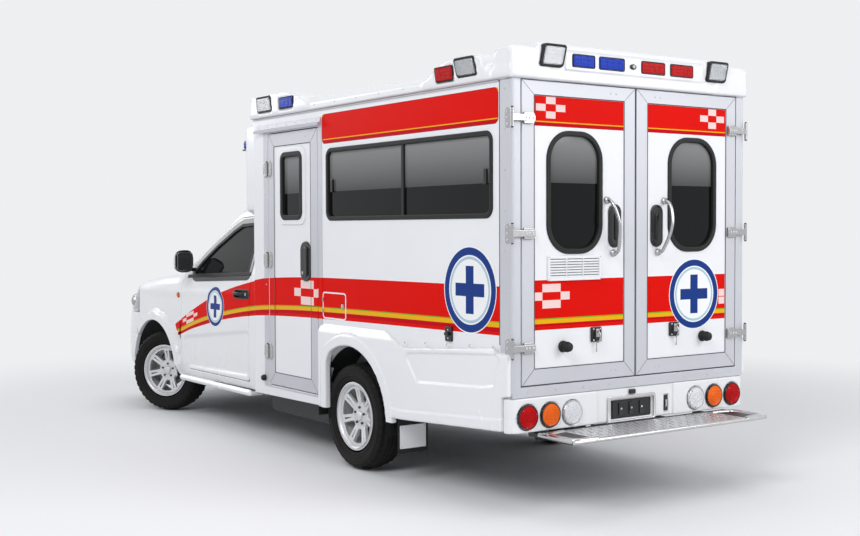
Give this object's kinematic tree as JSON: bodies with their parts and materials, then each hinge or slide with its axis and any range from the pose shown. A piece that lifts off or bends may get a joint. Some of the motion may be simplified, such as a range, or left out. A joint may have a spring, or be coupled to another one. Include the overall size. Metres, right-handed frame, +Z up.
{
  "type": "box-bodied ambulance on a pickup chassis",
  "caption": "Box-bodied ambulance on a single-cab pickup chassis, with opening doors, bonnet and flap, steered front wheels and free-turning wheels.",
  "frame": {"origin": "on the ground, under the middle of the vehicle's overall length and width", "axes": "+X forward along the vehicle, +Y to its left, +Z up"},
  "size_m": [5.82, 1.996, 2.442],
  "materials": {
    "frame_black": "satin black chassis paint",
    "cast_metal": "as cast",
    "exhaust_steel": "dull, heat stained",
    "black_plastic": "fine grain",
    "white_paint": "gloss with clear coat",
    "tinted_glass": "tinted safety glass",
    "chrome_trim": "polished",
    "lamp_clear": "clear lens over a reflector",
    "interior_plastic": "grained",
    "seat_fabric": "woven",
    "floor_vinyl": "non-slip sheet",
    "white_panel": "smooth gloss composite panel",
    "satin_aluminium": "satin anodised",
    "white_moulding": "gloss gel coat on glass fibre",
    "lamp_red": "coloured lens",
    "tread_plate": "raised tread pattern, polished edge",
    "black_rubber": "matt",
    "dark_glass": "dark privacy glass",
    "bench_vinyl": "soft vinyl",
    "red_film": "reflective red film",
    "tyre_rubber": "matt",
    "alloy": "machined and clear coated"
  },
  "bodies": {
    "root": {"rail_left": "frame_black", "rail_right": "frame_black", "cross_members": "frame_black", "engine": "cast_metal", "driveline": "cast_metal", "exhaust": "exhaust_steel", "fuel_tank": "black_plastic", "rear_axle": "frame_black", "rear_springs": "frame_black", "front_suspension": "frame_black", "cab_shell": "white_paint", "windscreen": "tinted_glass", "front_wings": "white_paint", "grille": "chrome_trim", "headlamps": "lamp_clear", "front_bumper": "white_paint", "side_steps": "white_paint", "dashboard": "interior_plastic", "steering_wheel": "interior_plastic", "seats": "seat_fabric", "box_floor": "floor_vinyl", "left_wall": "white_panel", "right_wall": "white_panel", "bulkhead": "white_panel", "rear_frame": "satin_aluminium", "roof_cap": "white_moulding", "fairing": "white_moulding", "skirts": "white_moulding", "rear_bumper": "white_moulding", "tail_lamps": "lamp_red", "rear_step": "tread_plate", "mud_flaps": "black_rubber", "fixed_windows": "dark_glass", "roof_lamps": "lamp_clear", "bench": "bench_vinyl"},
    "hood": {"hood": "white_paint"},
    "cab_door_left": {"cab_door_left": "white_paint", "door_glass_left": "tinted_glass", "mirror_left": "black_plastic"},
    "cab_door_right": {"cab_door_right": "white_paint", "door_glass_right": "tinted_glass", "mirror_right": "black_plastic"},
    "side_door": {"side_door": "white_panel", "side_door_glass": "dark_glass"},
    "rear_door_left": {"rear_door_left": "white_panel", "rear_glass_left": "dark_glass"},
    "rear_door_right": {"rear_door_right": "white_panel", "rear_glass_right": "dark_glass"},
    "fuel_flap": {"fuel_flap": "red_film"},
    "knuckle_left": {"knuckle_left": "cast_metal"},
    "knuckle_right": {"knuckle_right": "cast_metal"},
    "wheel_front_left": {"tyre_front_left": "tyre_rubber", "rim_front_left": "alloy"},
    "wheel_front_right": {"tyre_front_right": "tyre_rubber", "rim_front_right": "alloy"},
    "wheel_rear_left": {"tyre_rear_left": "tyre_rubber", "rim_rear_left": "alloy"},
    "wheel_rear_right": {"tyre_rear_right": "tyre_rubber", "rim_rear_right": "alloy"}
  },
  "joints": [
    {"name": "hood_hinge", "type": "hinge", "parent": "root", "child": "hood", "pos_m": [1.658, 0, 1.138], "axis": [0, -1, 0], "range_deg": [0, 52]},
    {"name": "cab_door_left_hinge", "type": "hinge", "parent": "root", "child": "cab_door_left", "pos_m": [1.575, 0.85, 0.9], "axis": [0, 0, -1], "range_deg": [0, 65]},
    {"name": "cab_door_right_hinge", "type": "hinge", "parent": "root", "child": "cab_door_right", "pos_m": [1.575, -0.85, 0.9], "axis": [0, 0, 1], "range_deg": [0, 65]},
    {"name": "side_door_hinge", "type": "hinge", "parent": "root", "child": "side_door", "pos_m": [0.062, 0.873, 1.269], "axis": [0, 0, -1], "range_deg": [0, 120]},
    {"name": "rear_door_left_hinge", "type": "hinge", "parent": "root", "child": "rear_door_left", "pos_m": [-2.611, 0.873, 1.453], "axis": [0, 0, -1], "range_deg": [0, 250]},
    {"name": "rear_door_right_hinge", "type": "hinge", "parent": "root", "child": "rear_door_right", "pos_m": [-2.611, -0.873, 1.453], "axis": [0, 0, 1], "range_deg": [0, 250]},
    {"name": "fuel_flap_hinge", "type": "hinge", "parent": "root", "child": "fuel_flap", "pos_m": [-0.686, 0.867, 0.998], "axis": [0, 0, -1], "range_deg": [0, 100]},
    {"name": "steer_left", "type": "hinge", "parent": "root", "child": "knuckle_left", "pos_m": [2.065, 0.69, 0.328], "axis": [0, 0, 1], "range_deg": [-65, 5]},
    {"name": "steer_right", "type": "hinge", "parent": "root", "child": "knuckle_right", "pos_m": [2.065, -0.69, 0.328], "axis": [0, 0, 1], "range_deg": [-65, 5]},
    {"name": "wheel_front_left_spin", "type": "hinge", "parent": "knuckle_left", "child": "wheel_front_left", "pos_m": [2.0325, 0.74629, 0.328], "axis": [-0.5, 0.866, 0], "continuous": true},
    {"name": "wheel_front_right_spin", "type": "hinge", "parent": "knuckle_right", "child": "wheel_front_right", "pos_m": [2.0975, -0.74629, 0.328], "axis": [-0.5, 0.866, 0], "continuous": true},
    {"name": "wheel_rear_left_spin", "type": "hinge", "parent": "root", "child": "wheel_rear_left", "pos_m": [-1.02, 0.755, 0.328], "axis": [0, 1, 0], "continuous": true},
    {"name": "wheel_rear_right_spin", "type": "hinge", "parent": "root", "child": "wheel_rear_right", "pos_m": [-1.02, -0.755, 0.328], "axis": [0, 1, 0], "continuous": true}
  ],
  "couplings": [
    {"joint": "steer_right", "follows": "steer_left", "ratio": 1}
  ]
}
